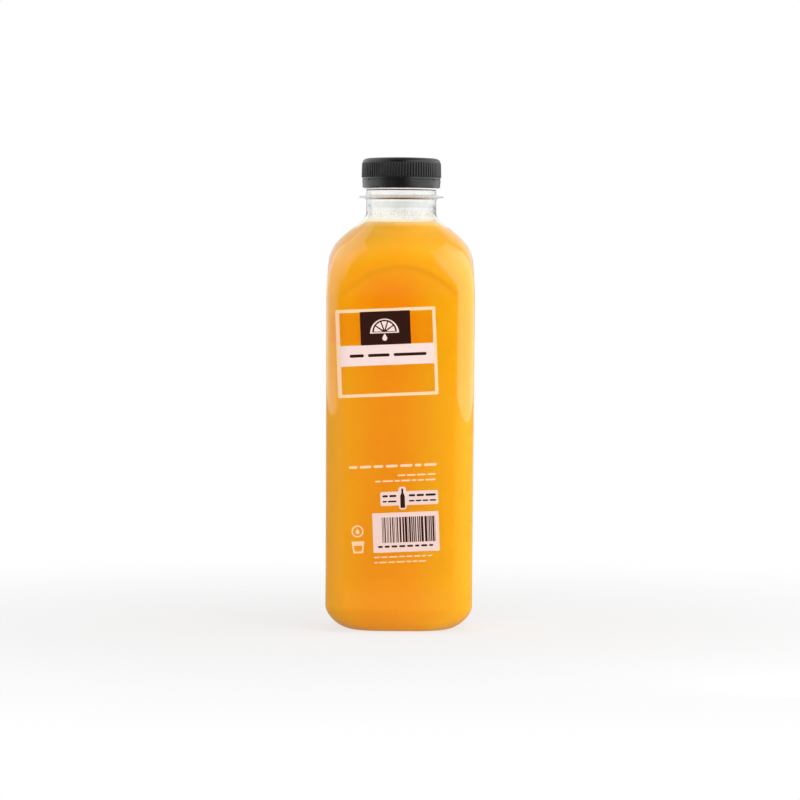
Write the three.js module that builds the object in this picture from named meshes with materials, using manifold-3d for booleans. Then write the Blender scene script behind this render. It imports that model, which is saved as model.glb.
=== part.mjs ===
// A one-litre juice bottle with a square body: a clear blown bottle, the juice in it, a ribbed
// screw cap with its tamper band, and a clear film label on the front.
// Millimetres, +Z up, the label towards -Y, the origin on the floor under the bottle's axis.

import * as THREE from "three";
import { mergeVertices } from "three/addons/utils/BufferGeometryUtils.js";
import Module from "manifold-3d";

const wasm = await Module();
wasm.setup();

// Body: a rounded square that narrows a little towards the foot
const HALF_LOW = 36.5;
const HALF_HIGH = 37.15;
const BODY_LOW = 24;
const BODY_HIGH = 167;
const CORNER = 11;

// Foot: a flat ring to stand on, round a shallow push-up
const HEEL = 14.3;
const FOOT_CORNER = 9;
const PUSH_UP_RADIUS = 16.5;
const PUSH_UP = 3;

// Shoulder: a dome that melts into the square body
const DOME_RADIUS = 33.3;
const DOME_Z = 195.8;
const DOME_ARC = 96.7;
const DOME_SLOPE = THREE.MathUtils.degToRad(51.3);
const BLEND = 8.8;

// Neck and its finish
const NECK_RADIUS = 17.8;
const NECK_FILLET = 6.6;
const NECK_LOW = 211.4;
const NECK_WALL = 1.9;
const RING_RADIUS = 21.4;
const RING_LOW = 218.2;
const RING_THICK = 0.9;
const RING_ROUND = 0.2; // rounding of the support ring's rim
const RING_ROOT_LOW = 1.6; // how far the ring's root reaches down the neck
const RING_ROOT_HIGH = 1.4;
const BEAD_RADIUS = 18.9;
const BEAD_LOW = 222.9;
const BEAD_HIGH = 225.2;
const BEAD_SLOPE = 0.8;
const LIP = 236.4;
const LIP_ROUND = 0.4;

// Wall of the blown part, and of the thick middle of the foot
const BODY_WALL = 0.5;
const FOOT_WALL = 1.4;
const THIN_FROM = 192;

// Juice: clear of the wall, up to its level in the shoulder
const JUICE_LEVEL = 206;
const JUICE_GAP = 0.3;

// Cap and tamper band, one moulding
const CAP_TOP = 238.7;
const CAP_PANEL = 1.6;
const CAP_ROOT = 19.7;
const CAP_BORE = 18.45;
const CROWN_RISE = 0.25;
const CROWN_REACH = 2.4; // the rounded edge of the top, across and down
const CROWN_DROP = 1.6;
const CROWN_STEPS = 4;
const RIBS = 86;
const RIB_HIGH = 236.1;
const RIB_LOW = 228.6;
const RIB_CREST_HIGH = 20.05;
const RIB_CREST_LOW = 20.25;
const RIB_CREST_WIDTH = 0.5;
const RIB_ROOT_WIDTH = 0.9;
const RIB_BEVEL = 0.3;
const RIB_SUNK = 0.4; // how deep a rib's root lies inside the skirt
const COLLAR_RADIUS = 19.85;
const SLIT_HIGH = 227.8;
const SLIT_LOW = 227.4;
const BAND_RADIUS_HIGH = 19.93;
const BAND_RADIUS_LOW = 19.7;
const BAND_BORE = 19.2;
const BAND_LOW = 223.65;
const BAND_LIP = 2.1; // height of the flare at the band's top edge
const BRIDGES = 12;
const BRIDGE_WIDTH = 1;
const BRIDGE_SUNK = 0.2; // how far a bridge reaches into the cap and into the band

// Film label: tilted a little, its left edge round the corner of the body
const FILM_WIDTH = 50.2;
const FILM_HEIGHT = 135;
const FILM_THICK = 0.15;
const FILM_GAP = 0.2;
const FILM_TILT = THREE.MathUtils.degToRad(2.6);
const FILM_LEFT = -33.1;
const FILM_TOP = 161;

// Fineness of the faceted solids
const FLAT_STEPS = 6;
const CORNER_STEPS = 7;
const HEEL_STEPS = 6;
const SHOULDER_STEPS = 10;
const FILLET_STEPS = 3;
const PUSH_UP_STEPS = 3;
const CAP_SEGMENTS = 60;
const FILM_COLUMNS = 16;
const FILM_ROWS = 6;
const FILM_CROWDING = 1.6; // columns crowd towards the corner of the body

const { lerp, smoothstep } = THREE.MathUtils;

// Half the body's width between flats at a height
function halfAt(z) {
  const share = (z - BODY_LOW) / (BODY_HIGH - BODY_LOW);
  return lerp(HALF_LOW, HALF_HIGH, THREE.MathUtils.clamp(share, 0, 1));
}

// Polar radius of a rounded square
function squareRadius(angle, half, corner) {
  const quarter = Math.PI / 2;
  const turned = ((angle % quarter) + quarter) % quarter;
  const fold = Math.min(turned, quarter - turned);
  const straight = half - corner;
  if (Math.tan(fold) <= straight / half) return half / Math.cos(fold);
  const along = straight * (Math.cos(fold) + Math.sin(fold));
  return along + Math.sqrt(corner ** 2 - straight ** 2 * (1 - Math.sin(2 * fold)));
}

// Smooth minimum of two radii
function blended(a, b) {
  const near = Math.max(BLEND - Math.abs(a - b), 0) / BLEND;
  return Math.min(a, b) - (near * near * BLEND) / 4;
}

// Radius of the shoulder's dome at a height below the neck's fillet
function domeRadius(z) {
  const drop = DOME_Z - z;
  if (drop < 0) return DOME_RADIUS + drop * Math.tan(DOME_SLOPE);
  const slope = Math.asin(Math.sin(DOME_SLOPE) - drop / DOME_ARC);
  return DOME_RADIUS + DOME_ARC * (Math.cos(slope) - Math.cos(DOME_SLOPE));
}

// Directions round the bottle: few on the flats, many on the corners
function directions() {
  const edge = Math.atan((HALF_HIGH - CORNER) / HALF_HIGH);
  const list = [];
  for (let side = 0; side < 4; side += 1) {
    const middle = (side * Math.PI) / 2;
    for (let i = 0; i < FLAT_STEPS; i += 1) list.push(middle + lerp(-edge, edge, i / FLAT_STEPS));
    for (let i = 0; i < CORNER_STEPS; i += 1) {
      list.push(middle + lerp(edge, Math.PI / 2 - edge, i / CORNER_STEPS));
    }
  }
  return list;
}

// Stations of the blown surface from the foot's middle to the neck: a height, a radius for each
// direction, and the wall there
function blownStations() {
  const stations = [];
  const add = (z, radius, wall) => stations.push({ z, radius, wall });
  for (let i = 1; i <= PUSH_UP_STEPS; i += 1) {
    const share = i / PUSH_UP_STEPS;
    add(PUSH_UP * (1 - share ** 2), () => PUSH_UP_RADIUS * share, lerp(FOOT_WALL, 1, share));
  }
  for (let i = 0; i <= HEEL_STEPS; i += 1) {
    const turn = (Math.PI / 2) * (1 - i / HEEL_STEPS);
    const half = halfAt(0) - HEEL * (1 - Math.cos(turn));
    const corner = lerp(CORNER, FOOT_CORNER, 1 - Math.cos(turn));
    const wall = lerp(BODY_WALL, 1, turn / (Math.PI / 2));
    add(HEEL * (1 - Math.sin(turn)), (angle) => squareRadius(angle, half, corner), wall);
  }
  add(BODY_LOW, (angle) => squareRadius(angle, HALF_LOW, CORNER), BODY_WALL);
  const coneTop = NECK_LOW - NECK_FILLET * Math.sin(DOME_SLOPE);
  for (let i = 0; i < SHOULDER_STEPS; i += 1) {
    const z = lerp(BODY_HIGH, coneTop, (i / SHOULDER_STEPS) ** 0.8);
    const square = (angle) => squareRadius(angle, halfAt(z), CORNER);
    add(z, (angle) => blended(domeRadius(z), square(angle)), wallAt(z));
  }
  for (let i = 0; i <= FILLET_STEPS; i += 1) {
    const turn = DOME_SLOPE * (1 - i / FILLET_STEPS);
    const z = NECK_LOW - NECK_FILLET * Math.sin(turn);
    add(z, () => NECK_RADIUS + NECK_FILLET * (1 - Math.cos(turn)), wallAt(z));
  }
  return stations;
}

// Wall thickness, from the thin body to the thick neck
function wallAt(z) {
  return lerp(BODY_WALL, NECK_WALL, smoothstep(z, THIN_FROM, NECK_LOW));
}

// One column of the blown surface in a direction, moved inward by its wall and a gap
function column(stations, angle, inward) {
  const points = stations.map(({ z, radius }) => new THREE.Vector2(radius(angle), z));
  return points.map((point, i) => {
    const before = points[Math.max(i - 1, 0)];
    const after = points[Math.min(i + 1, points.length - 1)];
    const along = after.clone().sub(before).normalize();
    const depth = inward(stations[i]);
    return new THREE.Vector2(point.x - along.y * depth, point.y + along.x * depth);
  });
}

// Rings of points round the axis, one for each station of the columns
function ringsOf(columns, angles) {
  return columns[0].map((_, i) =>
    angles.map((angle, j) => {
      const { x: radius, y: z } = columns[j][i];
      return [radius * Math.cos(angle), radius * Math.sin(angle), z];
    }),
  );
}

// A plain round ring of points
function roundRing(radius, z, angles) {
  return angles.map((angle) => [radius * Math.cos(angle), radius * Math.sin(angle), z]);
}

// A geometry from points and the corners of its triangles
function shell(points, faces) {
  const geometry = new THREE.BufferGeometry();
  geometry.setAttribute("position", new THREE.Float32BufferAttribute(points.flat(), 3));
  geometry.setIndex(faces);
  geometry.computeVertexNormals();
  return geometry;
}

// Two triangles for a quad, split along its shorter diagonal so that parallel walls split alike
function quad(points, [a, b, c, d]) {
  const length = (from, to) => Math.hypot(...points[from].map((v, k) => v - points[to][k]));
  if (length(a, c) <= length(b, d)) return [a, b, c, a, c, d];
  return [a, b, d, b, c, d];
}

// A closed surface through rings of points, with a point on the axis at each end
function loft(rings, startZ, endZ) {
  const count = rings[0].length;
  const points = [[0, 0, startZ], ...rings.flat(), [0, 0, endZ]];
  const last = points.length - 1;
  const rim = last - count;
  const faces = [];
  for (let j = 0; j < count; j += 1) {
    const next = (j + 1) % count;
    faces.push(0, 1 + next, 1 + j);
    for (let low = 1; low < rim; low += count) {
      const high = low + count;
      faces.push(...quad(points, [low + j, low + next, high + next, high + j]));
    }
    faces.push(rim + j, rim + next, last);
  }
  return shell(points, faces);
}

// Turn a closed geometry into a solid for joining
function toSolid(geometry) {
  const bare = geometry.clone();
  bare.deleteAttribute("normal");
  bare.deleteAttribute("uv");
  const merged = mergeVertices(bare, 1e-4);
  const vertProperties = new Float32Array(merged.attributes.position.array);
  const triVerts = new Uint32Array(merged.index.array);
  return new wasm.Manifold(new wasm.Mesh({ numProp: 3, vertProperties, triVerts }));
}

// Turn a solid back into a geometry
function toGeometry(solid) {
  const { vertProperties, triVerts } = solid.getMesh();
  const geometry = new THREE.BufferGeometry();
  geometry.setAttribute("position", new THREE.BufferAttribute(vertProperties, 3));
  geometry.setIndex(new THREE.BufferAttribute(triVerts, 1));
  geometry.computeVertexNormals();
  return geometry;
}

// A closed lathe about +Z from radius and height pairs that run upwards on the outside
function turned(pairs, segments) {
  const points = pairs.map(([radius, z]) => new THREE.Vector2(radius, z));
  const geometry = new THREE.LatheGeometry(points, segments);
  return geometry.rotateX(Math.PI / 2);
}

// Outside of the neck's finish: support ring, bead for the tamper band, and lip
function finishProfile() {
  const ringHigh = RING_LOW + RING_THICK;
  const bore = NECK_RADIUS - NECK_WALL;
  return [
    [NECK_RADIUS, RING_LOW - RING_ROOT_LOW],
    [NECK_RADIUS + RING_ROOT_LOW / 2, RING_LOW - RING_ROOT_LOW / 4],
    [RING_RADIUS - RING_ROUND, RING_LOW],
    [RING_RADIUS, RING_LOW + RING_THICK / 2],
    [RING_RADIUS - RING_ROUND, ringHigh],
    [NECK_RADIUS + RING_ROOT_HIGH / 2, ringHigh + RING_ROOT_HIGH / 4],
    [NECK_RADIUS, ringHigh + RING_ROOT_HIGH],
    [NECK_RADIUS, BEAD_LOW - BEAD_SLOPE],
    [BEAD_RADIUS, BEAD_LOW],
    [BEAD_RADIUS, BEAD_HIGH],
    [NECK_RADIUS, BEAD_HIGH + BEAD_SLOPE],
    [NECK_RADIUS, LIP - LIP_ROUND],
    [NECK_RADIUS - LIP_ROUND, LIP],
    [bore + LIP_ROUND, LIP],
    [bore, LIP - LIP_ROUND],
  ];
}

// The blown bottle: outside from the foot to the lip, then inside back down to the foot
function bottle() {
  const angles = directions();
  const stations = blownStations();
  const outside = angles.map((angle) => column(stations, angle, () => 0));
  const inside = angles.map((angle) => column(stations, angle, ({ wall }) => wall));
  const rings = [
    ...ringsOf(outside, angles),
    ...finishProfile().map(([radius, z]) => roundRing(radius, z, angles)),
    ...ringsOf(inside, angles).reverse(),
  ];
  return loft(rings, PUSH_UP, PUSH_UP + FOOT_WALL);
}

// The juice: the inside of the bottle, a gap clear of it, up to its level
function juice() {
  const angles = directions();
  const stations = blownStations();
  const clear = ({ wall }) => wall + JUICE_GAP;
  const columns = angles.map((angle) => column(stations, angle, clear));
  const below = columns[0].filter((point) => point.y < JUICE_LEVEL - 0.5).length;
  const filled = columns.map((points) => {
    const [low, high] = [points[below - 1], points[below]];
    const share = (JUICE_LEVEL - low.y) / (high.y - low.y);
    return [...points.slice(0, below), low.clone().lerp(high, share)];
  });
  return loft(ringsOf(filled, angles), PUSH_UP + FOOT_WALL + JUICE_GAP, JUICE_LEVEL);
}

// Section of the cap's shell: top panel with a rounded edge, skirt and collar
function capProfile() {
  const roof = CAP_TOP - CAP_PANEL;
  const step = COLLAR_RADIUS - CAP_ROOT;
  const points = [
    [0, roof],
    [CAP_BORE, roof],
    [CAP_BORE, SLIT_HIGH],
    [COLLAR_RADIUS, SLIT_HIGH],
    [COLLAR_RADIUS, RIB_LOW],
    [CAP_ROOT, RIB_LOW + step],
  ];
  for (let i = 0; i <= CROWN_STEPS; i += 1) {
    const turn = (Math.PI / 2) * (i / CROWN_STEPS);
    const inward = CROWN_REACH * (1 - Math.cos(turn));
    const below = CROWN_DROP * (1 - Math.sin(turn));
    points.push([CAP_ROOT - inward, CAP_TOP - CROWN_RISE - below]);
  }
  points.push([0, CAP_TOP]);
  return points;
}

// Section of the tamper band, a ring with a small lip at its top edge
function bandProfile() {
  return [
    [BAND_BORE, SLIT_LOW],
    [BAND_BORE, BAND_LOW],
    [BAND_RADIUS_LOW, BAND_LOW],
    [BAND_RADIUS_LOW, SLIT_LOW - BAND_LIP],
    [BAND_RADIUS_HIGH, SLIT_LOW],
    [BAND_BORE, SLIT_LOW],
  ];
}

// One grip rib, a tapered bar whose root is sunk into the skirt and whose top is bevelled
function capRib() {
  const sunk = CAP_ROOT - RIB_SUNK;
  const shape = new THREE.Shape();
  shape.moveTo(sunk, -RIB_ROOT_WIDTH / 2);
  shape.lineTo(RIB_CREST_LOW, -RIB_CREST_WIDTH / 2);
  shape.lineTo(RIB_CREST_LOW, RIB_CREST_WIDTH / 2);
  shape.lineTo(sunk, RIB_ROOT_WIDTH / 2);
  const height = RIB_HIGH - RIB_LOW;
  const rib = new THREE.ExtrudeGeometry(shape, { depth: height, bevelEnabled: false });
  rib.translate(0, 0, RIB_LOW);
  const place = rib.attributes.position;
  for (let i = 0; i < place.count; i += 1) {
    if (place.getX(i) > CAP_ROOT && place.getZ(i) > RIB_HIGH - RIB_BEVEL) {
      place.setX(i, RIB_CREST_HIGH);
      place.setZ(i, RIB_HIGH - RIB_BEVEL);
    }
  }
  return rib;
}

// One of the thin bridges that tear when the cap is first turned
function capBridge() {
  const reach = CAP_ROOT - BAND_BORE - BRIDGE_SUNK / 2;
  const height = SLIT_HIGH - SLIT_LOW + 2 * BRIDGE_SUNK;
  const bridge = new THREE.BoxGeometry(reach, BRIDGE_WIDTH, height);
  return bridge.translate(BAND_BORE + BRIDGE_SUNK / 2 + reach / 2, 0, (SLIT_HIGH + SLIT_LOW) / 2);
}

// Copies of a piece round the axis, as solids
function round(count, piece) {
  const copies = [];
  for (let i = 0; i < count; i += 1) {
    copies.push(toSolid(piece().rotateZ((2 * Math.PI * i) / count)));
  }
  return copies;
}

// The cap with its ribs, bridges and tamper band, joined into one
function cap() {
  let solid = toSolid(turned(capProfile(), CAP_SEGMENTS));
  const parts = [
    ...round(RIBS, capRib),
    toSolid(turned(bandProfile(), CAP_SEGMENTS)),
    ...round(BRIDGES, capBridge),
  ];
  for (const part of parts) solid = solid.add(part);
  return toGeometry(solid);
}

// A point on the front of the body at a distance along its girth from the middle of the front
function frontPoint(girth, z, lift) {
  const straight = halfAt(z) - CORNER;
  const past = Math.max(Math.abs(girth) - straight, 0);
  const turn = past / CORNER;
  const reach = CORNER + lift;
  const across = Math.min(Math.abs(girth), straight) + reach * Math.sin(turn);
  return [Math.sign(girth) * across, -(straight + reach * Math.cos(turn)), z];
}

// The film label: a thin sheet on the front face
function label() {
  const sheet = (lift) => {
    const points = [];
    for (let j = 0; j <= FILM_ROWS; j += 1) {
      for (let i = 0; i <= FILM_COLUMNS; i += 1) {
        const across = FILM_WIDTH * (i / FILM_COLUMNS) ** FILM_CROWDING;
        const down = (FILM_HEIGHT * j) / FILM_ROWS;
        const girth = FILM_LEFT + across * Math.cos(FILM_TILT) + down * Math.sin(FILM_TILT);
        const z = FILM_TOP + across * Math.sin(FILM_TILT) - down * Math.cos(FILM_TILT);
        points.push(frontPoint(girth, z, lift));
      }
    }
    return points;
  };
  const front = sheet(FILM_GAP + FILM_THICK);
  const back = front.length;
  const at = (i, j) => j * (FILM_COLUMNS + 1) + i;
  const faces = [];
  for (let j = 0; j < FILM_ROWS; j += 1) {
    for (let i = 0; i < FILM_COLUMNS; i += 1) {
      const [a, b, c, d] = [at(i, j), at(i, j + 1), at(i + 1, j + 1), at(i + 1, j)];
      faces.push(a, b, c, a, c, d);
      faces.push(back + a, back + c, back + b, back + a, back + d, back + c);
    }
  }
  for (const [from, to] of filmRim(at)) {
    faces.push(from, back + from, back + to, from, back + to, to);
  }
  return shell([...front, ...sheet(FILM_GAP)], faces);
}

// Edges of the film's rim, in the order that closes it
function filmRim(at) {
  const edges = [];
  for (let i = 0; i < FILM_COLUMNS; i += 1) {
    edges.push([at(i + 1, 0), at(i, 0)]);
    edges.push([at(i, FILM_ROWS), at(i + 1, FILM_ROWS)]);
  }
  for (let j = 0; j < FILM_ROWS; j += 1) {
    edges.push([at(0, j), at(0, j + 1)]);
    edges.push([at(FILM_COLUMNS, j + 1), at(FILM_COLUMNS, j)]);
  }
  return edges;
}

// A named mesh with its material
function piece(name, geometry, look) {
  const mesh = new THREE.Mesh(geometry, new THREE.MeshStandardMaterial(look));
  mesh.name = name;
  return mesh;
}

const juiceBottle = new THREE.Group();
juiceBottle.name = "juice_bottle";
const clear = { transparent: true, opacity: 0.25, metalness: 0 };
juiceBottle.add(
  piece("bottle", bottle(), { ...clear, color: 0xf4f7f6, roughness: 0.08 }),
  piece("juice", juice(), { color: 0xee9a28, roughness: 0.35, metalness: 0 }),
  piece("cap", cap(), { color: 0x2b2b2d, roughness: 0.42, metalness: 0 }),
  piece("label", label(), { ...clear, color: 0xfbf3e4, roughness: 0.2 }),
);

export default juiceBottle;
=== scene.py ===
# Looks of a one-litre bottle of orange juice: clear blown bottle, juice, black screw cap and a
# clear printed film. Sizes below are in millimetres, meshes in metres, the label towards -Y.

from math import asin, atan, atan2, copysign, cos, exp, pi, radians, sin, sqrt, tan
import random

import bmesh
import bpy
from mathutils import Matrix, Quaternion, Vector
from mathutils.geometry import tessellate_polygon


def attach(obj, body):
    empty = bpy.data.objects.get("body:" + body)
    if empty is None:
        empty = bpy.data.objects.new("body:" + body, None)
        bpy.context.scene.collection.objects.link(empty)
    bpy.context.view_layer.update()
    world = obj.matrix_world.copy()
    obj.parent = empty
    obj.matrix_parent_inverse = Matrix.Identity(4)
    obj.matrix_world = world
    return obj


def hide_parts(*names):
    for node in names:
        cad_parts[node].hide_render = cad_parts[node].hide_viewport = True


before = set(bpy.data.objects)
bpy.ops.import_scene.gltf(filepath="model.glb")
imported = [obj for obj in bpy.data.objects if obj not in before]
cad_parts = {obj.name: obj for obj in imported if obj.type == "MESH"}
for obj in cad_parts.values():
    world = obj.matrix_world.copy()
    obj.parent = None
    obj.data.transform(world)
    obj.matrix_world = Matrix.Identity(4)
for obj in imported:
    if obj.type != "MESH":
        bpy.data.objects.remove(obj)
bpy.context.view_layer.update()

MM = 0.001

# Body: a rounded square that narrows a little towards the foot
HALF_LOW = 36.83
HALF_HIGH = 37.23
BODY_LOW = 24
BODY_HIGH = 167
CORNER = 11
FLAT_TURN = atan((HALF_HIGH - CORNER) / HALF_HIGH)

# Foot: a flat ring to stand on, round a shallow push-up
HEEL_ACROSS = 13.6
HEEL_UP = 13
HEEL_POWER = 1.6
FOOT_CORNER = 16
PUSH_UP_RADIUS = 16.5
PUSH_UP = 3

# Shoulder: a dome that melts into the square body, with a faint crease over each flat
DOME_RADIUS = 33.3
DOME_Z = 195.8
DOME_ARC = 96.7
DOME_SLOPE = radians(51.3)
BLEND = 8.8
CREASE_DEPTH = 0.015
CREASE_WIDTH = 1.1
CREASE_DROP = 1.0
CREASE_FADE = 0.92
CREASE_END = 1.2
PANEL_LEAN = 0.034
PANEL_LEAN_FROM = 168.5

# Neck and its finish
NECK_RADIUS = 17.8
NECK_FILLET = 6.6
NECK_LOW = 211.4
CONE_TOP = NECK_LOW - NECK_FILLET * sin(DOME_SLOPE)
NECK_WALL = 1.9
RING_RADIUS = 21.4
RING_LOW = 218.2
RING_THICK = 0.9
RING_ROOT_LOW = 1.6
RING_ROOT_HIGH = 1.4
RING_ROOT_REACH = 2.2
RING_ROOT_OFF = 0.1
BEAD_RADIUS = 18.9
BEAD_LOW = 222.9
BEAD_HIGH = 225.2
BEAD_SLOPE = 0.5
BEAD_ROUND = 0.25
BEAD_TURN = 60
LIP = 236.4
LIP_ROUND = 0.4

# Wall of the blown part, and of the thick middle of the foot
BODY_WALL = 0.5
FOOT_WALL = 1.4
HEEL_WALL = 0.45
THIN_FROM = 197

# Juice: reaches just into the wall, and creeps up it at its edge
JUICE_LEVEL = 205
JUICE_INTO_WALL = 0.15
MENISCUS_RISE = 0.9
MENISCUS_REACH = 1.1
JUICE_TOP_STEPS = 12
JUICE_TOP_POWER = 3
JUICE_EDGE_CLEAR = 0.1

# Cap and tamper band
CAP_TOP = 238.7
CAP_PANEL = 1.6
CAP_ROOT = 19.7
CAP_BORE = 18.45
CROWN_RISE = 0.5
CROWN_REACH = 3.1
CROWN_DROP = 1.9
RIBS = 86
RIB_HIGH = 236.1
RIB_LOW = 228.5
RIB_CREST_HIGH = 20.05
RIB_CREST_LOW = 20.25
RIB_CREST_WIDTH = 0.3
RIB_ROOT_WIDTH = 1.3
RIB_FADE = 0.55
RIB_STEP = 0.08
RIB_AT_ROOT = 0.85
COLLAR_RADIUS = 19.85
SLIT_HIGH = 227.4
SLIT_LOW = 227.0
BAND_RADIUS_HIGH = 19.93
BAND_RADIUS_LOW = 19.7
BAND_BORE = 19.2
BAND_LOW = 223.42
BAND_LIP = 2.1
EDGE_ROUND = 0.12
BRIDGES = 12
BRIDGE_WIDTH = 1
BRIDGE_SUNK = 0.2
BRIDGE_WAIST = 0.7
FOLD_INNER = 18.98
FOLD_OUTER = 19.15
FOLD_REACH = 1.2

# Film label: tilted a little, its left edge round the corner of the body
FILM_WIDTH = 50.7
FILM_HEIGHT = 135
FILM_TILT = radians(2.6)
FILM_LEFT = -33.1
FILM_TOP = 161
FILM_RISE = 0.4
FILM_BACK = 0.04
FILM_FRONT = 0.19
INK_THICK = 0.03

# Fineness of the meshes
FLAT_STEPS = 36
CORNER_STEPS = 22
HEEL_STEPS = 26
BODY_STEPS = 24
SHOULDER_STEPS = 110
INNER_SHOULDER_STEPS = 40
FILLET_STEPS = 14
PUSH_UP_STEPS = 10
ARC_STEPS = 6
RIB_COLUMNS = 12
BAND_COLUMNS = 192
FILM_COLUMNS = 60
FILM_ROWS = 60
RIB_ROWS = 8
CROWN_STEPS = 14
CAP_TOP_STEPS = 8
BAND_EDGE_STEPS = 3

# Sharpest angles, in degrees, that are shaded smooth
JUICE_SMOOTH = 50
CAP_SMOOTH = 40
FILM_SMOOTH = 40


def lerp(a, b, share):
    return a + (b - a) * share


def clamp(value, low=0.0, high=1.0):
    return min(high, max(low, value))


def smoothstep(value, low, high):
    share = clamp((value - low) / (high - low))
    return share * share * (3 - 2 * share)


# Half the body's width between flats at a height
def half_at(z):
    return lerp(HALF_LOW, HALF_HIGH, clamp((z - BODY_LOW) / (BODY_HIGH - BODY_LOW)))


# Angle from the middle of the nearest flat, 0 to 45 degrees
def folded(angle):
    turned = angle % (pi / 2)
    return min(turned, pi / 2 - turned)


# Polar radius of a rounded square
def square_radius(angle, half, corner):
    fold = folded(angle)
    straight = half - corner
    if tan(fold) <= straight / half:
        return half / cos(fold)
    along = straight * (cos(fold) + sin(fold))
    under = corner ** 2 - straight ** 2 * (1 - sin(2 * fold))
    return along + sqrt(max(under, 0))


# Smooth minimum of two radii
def blended(a, b):
    near = max(BLEND - abs(a - b), 0) / BLEND
    return min(a, b) - near * near * BLEND / 4


# Radius of the shoulder's dome at a height below the neck's fillet
def dome_radius(z):
    drop = DOME_Z - z
    if drop < 0:
        return DOME_RADIUS + drop * tan(DOME_SLOPE)
    slope = asin(sin(DOME_SLOPE) - drop / DOME_ARC)
    return DOME_RADIUS + DOME_ARC * (cos(slope) - cos(DOME_SLOPE))


# Half the body's width in the shoulder, where each flat leans in a little
def leaning_half(z):
    return half_at(z) - PANEL_LEAN * max(z - PANEL_LEAN_FROM, 0)


# How near a place of the shoulder is to the crease over each flat, from 0 to 1
def crease_share(angle, z):
    raised = z + CREASE_DROP
    off = dome_radius(raised) - square_radius(angle, leaning_half(raised), CORNER) - BLEND
    off /= CREASE_WIDTH
    fade = 1 - smoothstep(folded(angle), CREASE_FADE * FLAT_TURN, CREASE_END * FLAT_TURN)
    return exp(-off * off) * fade


# Radius of the shoulder in a direction
def shoulder_radius(angle, z):
    square = square_radius(angle, leaning_half(z), CORNER)
    return blended(dome_radius(z), square) - CREASE_DEPTH * crease_share(angle, z)


# Wall thickness, from the thin body to the thick neck
def wall_at(z):
    return lerp(BODY_WALL, NECK_WALL, smoothstep(z, THIN_FROM, NECK_LOW))


# Directions round the bottle: few on the flats, many on the corners
def directions():
    angles = []
    for side in range(4):
        middle = side * pi / 2
        angles += [middle + lerp(-FLAT_TURN, FLAT_TURN, i / FLAT_STEPS) for i in range(FLAT_STEPS)]
        far = pi / 2 - FLAT_TURN
        angles += [middle + lerp(FLAT_TURN, far, i / CORNER_STEPS) for i in range(CORNER_STEPS)]
    return angles


# Stations of the blown surface, foot to neck: height, radius by direction, and wall
def blown_stations(shoulder_steps):
    stations = []
    for i in range(1, PUSH_UP_STEPS + 1):
        share = i / PUSH_UP_STEPS
        height = PUSH_UP * (1 - share ** 2)
        wall = lerp(FOOT_WALL, HEEL_WALL, share)
        stations.append((height, round_section(PUSH_UP_RADIUS * share), wall))
    for i in range(HEEL_STEPS + 1):
        turn = pi / 2 * (1 - i / HEEL_STEPS)
        tuck = 1 - max(cos(turn), 0) ** (2 / HEEL_POWER)
        section = square_section(HALF_LOW - HEEL_ACROSS * tuck, lerp(CORNER, FOOT_CORNER, tuck))
        wall = lerp(BODY_WALL, HEEL_WALL, turn / (pi / 2))
        stations.append((HEEL_UP * (1 - sin(turn) ** (2 / HEEL_POWER)), section, wall))
    for i in range(BODY_STEPS):
        z = lerp(BODY_LOW, BODY_HIGH, i / BODY_STEPS)
        stations.append((z, square_section(half_at(z), CORNER), BODY_WALL))
    for i in range(shoulder_steps):
        z = lerp(BODY_HIGH, CONE_TOP, i / shoulder_steps)
        stations.append((z, shoulder_section(z), wall_at(z)))
    for i in range(FILLET_STEPS + 1):
        turn = DOME_SLOPE * (1 - i / FILLET_STEPS)
        z = NECK_LOW - NECK_FILLET * sin(turn)
        reach = NECK_RADIUS + NECK_FILLET * (1 - cos(turn))
        stations.append((z, round_section(reach), wall_at(z)))
    return stations


def round_section(radius):
    return lambda angle: radius


def square_section(half, corner):
    return lambda angle: square_radius(angle, half, corner)


def shoulder_section(z):
    return lambda angle: shoulder_radius(angle, z)


# One column of the blown surface, moved inward by a depth that its wall gives
def column(stations, angle, depth_of):
    points = [Vector((section(angle), z)) for z, section, wall in stations]
    moved = []
    for i, point in enumerate(points):
        before = points[max(i - 1, 0)]
        after = points[min(i + 1, len(points) - 1)]
        along = (after - before).normalized()
        depth = depth_of(stations[i][2])
        moved.append((point.x - along.y * depth, point.y + along.x * depth))
    return moved


# Points from radius and height pairs, one pair for each direction
def ring(pairs, angles):
    return [(r * cos(a), r * sin(a), z) for (r, z), a in zip(pairs, angles)]


def round_ring(radius, z, angles):
    return ring([(radius, z)] * len(angles), angles)


# Rings across a set of columns
def rings_of(columns, angles):
    return [ring(level, angles) for level in zip(*columns)]


# Faces between two rings of points, given where each starts
def strip(low, high, count):
    faces = []
    for j in range(count):
        following = (j + 1) % count
        faces.append((low + j, low + following, high + following, high + j))
    return faces


# A closed surface through rings of points, with a point on the axis at each end
def loft(rings, start_z, end_z):
    count = len(rings[0])
    points = [(0, 0, start_z)] + [p for level in rings for p in level] + [(0, 0, end_z)]
    rim = len(points) - 1 - count
    faces = [(0, 1 + (j + 1) % count, 1 + j) for j in range(count)]
    faces += [(rim + j, rim + (j + 1) % count, len(points) - 1) for j in range(count)]
    for low in range(1, rim, count):
        faces += strip(low, low + count, count)
    return points, faces


def all_round(count):
    return [2 * pi * i / count for i in range(count)]


# A ring whose section is a closed loop of radius and height pairs
def turned(section):
    angles = all_round(BAND_COLUMNS)
    points = [p for radius, z in section for p in round_ring(radius, z, angles)]
    faces = []
    for i in range(len(section)):
        faces += strip(i * BAND_COLUMNS, (i + 1) % len(section) * BAND_COLUMNS, BAND_COLUMNS)
    return points, faces


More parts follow.
